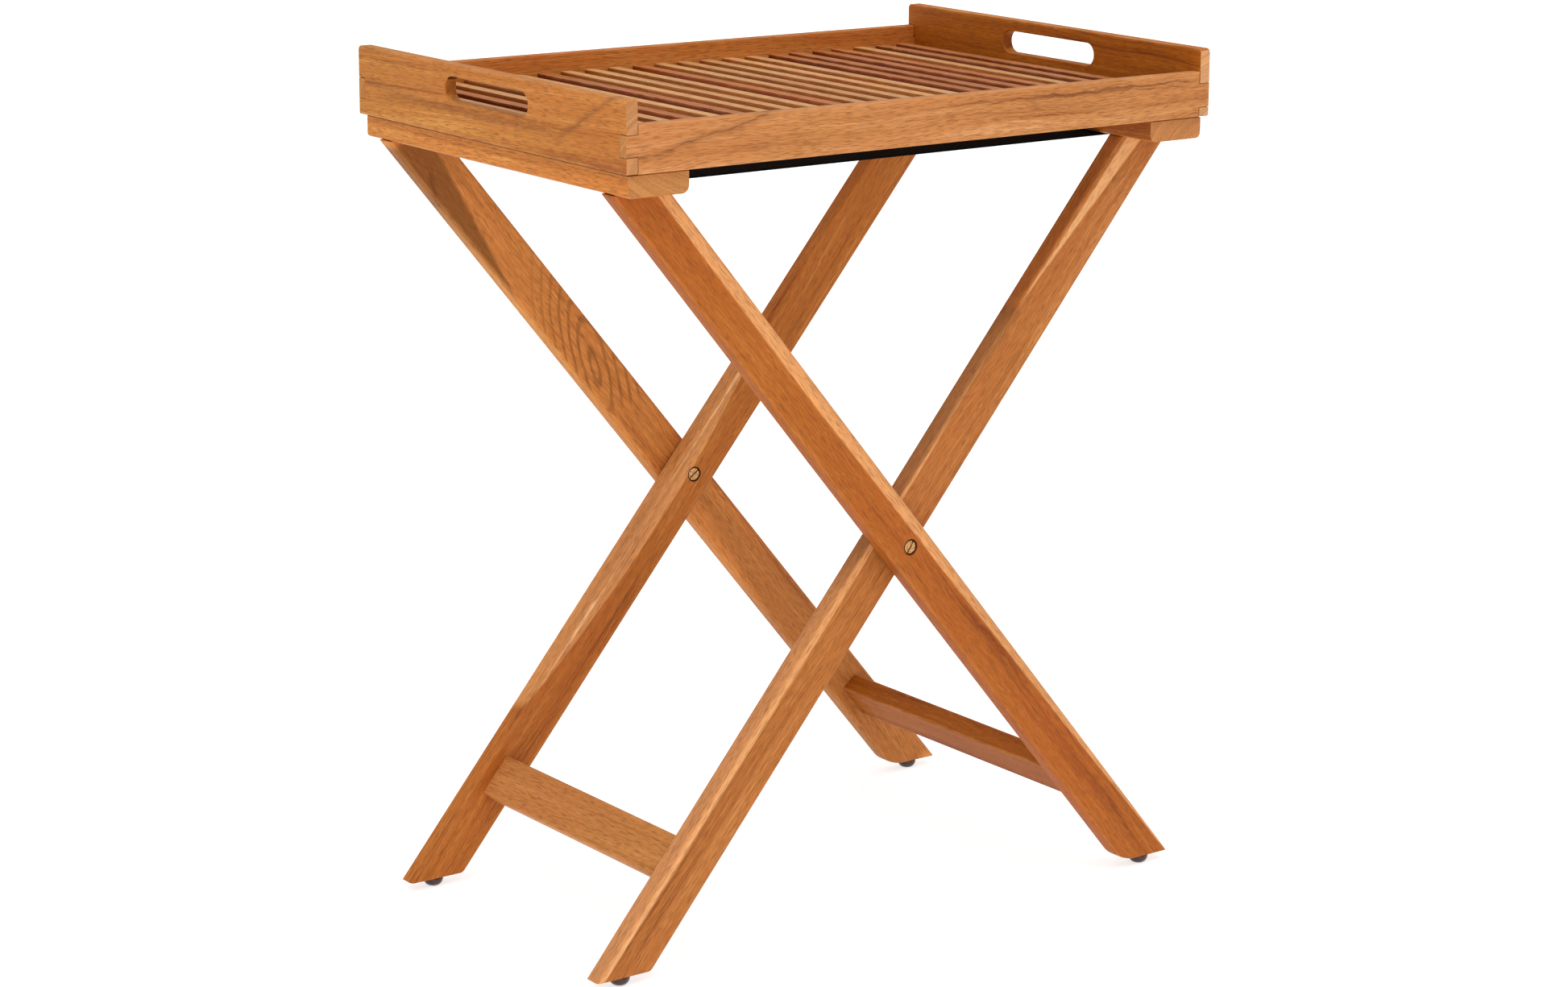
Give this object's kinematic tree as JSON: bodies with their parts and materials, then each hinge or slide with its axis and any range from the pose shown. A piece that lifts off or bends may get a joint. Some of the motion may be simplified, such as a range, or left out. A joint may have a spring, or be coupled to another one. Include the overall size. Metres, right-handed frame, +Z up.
{
  "type": "folding tray table",
  "caption": "Slatted wooden tray with a handle slot at each end, loose on a folding crossed-leg stand with webbing straps and domed foot glides.",
  "frame": {"origin": "on the floor, under the middle of the tray", "axes": "+X along the tray's long side from the outer frame's rail to the inner frame's rail, +Y from the front long side to the back one and along the fold axis, +Z up"},
  "size_m": [0.65, 0.44, 0.798],
  "materials": {
    "teak": "oiled teak, satin",
    "teak_slat": "planed teak, paler and drier, varying from slat to slat",
    "teak_ledger": "darker teak, sawn",
    "brass": "dull brass",
    "glide_plastic": "very dark brown moulded plastic",
    "webbing": "black flat-woven webbing"
  },
  "bodies": {
    "outer_frame": {"outer_rail": "teak", "outer_stretcher": "teak", "outer_leg_front": "teak", "outer_leg_back": "teak", "outer_glide_front": "glide_plastic", "outer_glide_back": "glide_plastic", "outer_screw_front_1": "brass", "outer_screw_front_2": "brass", "outer_screw_back_1": "brass", "outer_screw_back_2": "brass", "pivot_bolt_front": "brass", "pivot_bolt_back": "brass", "pivot_nut_front": "brass", "pivot_nut_back": "brass", "pivot_washer_front": "brass", "pivot_washer_back": "brass", "strap_front": "webbing", "strap_back": "webbing"},
    "inner_frame": {"inner_rail": "teak", "inner_stretcher": "teak", "inner_leg_front": "teak", "inner_leg_back": "teak", "inner_glide_front": "glide_plastic", "inner_glide_back": "glide_plastic", "inner_screw_front_1": "brass", "inner_screw_front_2": "brass", "inner_screw_back_1": "brass", "inner_screw_back_2": "brass"},
    "tray": {"tray_end_left": "teak", "tray_end_right": "teak", "tray_side_front": "teak", "tray_side_back": "teak", "tray_ledger_front": "teak_ledger", "tray_ledger_back": "teak_ledger", "tray_slat_01": "teak_slat", "tray_slat_02": "teak_slat", "tray_slat_03": "teak_slat", "tray_slat_04": "teak_slat", "tray_slat_05": "teak_slat", "tray_slat_06": "teak_slat", "tray_slat_07": "teak_slat", "tray_slat_08": "teak_slat", "tray_slat_09": "teak_slat", "tray_slat_10": "teak_slat", "tray_slat_11": "teak_slat", "tray_slat_12": "teak_slat", "tray_slat_13": "teak_slat", "tray_slat_14": "teak_slat", "tray_slat_15": "teak_slat", "tray_slat_16": "teak_slat", "tray_slat_17": "teak_slat", "tray_slat_18": "teak_slat", "tray_slat_19": "teak_slat", "tray_slat_20": "teak_slat", "tray_slat_21": "teak_slat", "tray_slat_22": "teak_slat", "tray_slat_23": "teak_slat"}
  },
  "joints": [
    {"name": "stand_fold", "type": "hinge", "parent": "outer_frame", "child": "inner_frame", "pos_m": [0, 0, 0.3635], "axis": [0, -1, 0], "range_deg": [0, 68.7], "deforming": ["strap_front", "strap_back"]},
    {"name": "tray_lift", "type": "slide", "parent": "outer_frame", "child": "tray", "axis": [0, 0, 1], "range_m": [0, 0.42]}
  ],
  "couplings": [
    {"joint": "tray_lift", "follows": "stand_fold", "m_per_rad": 0.35}
  ]
}
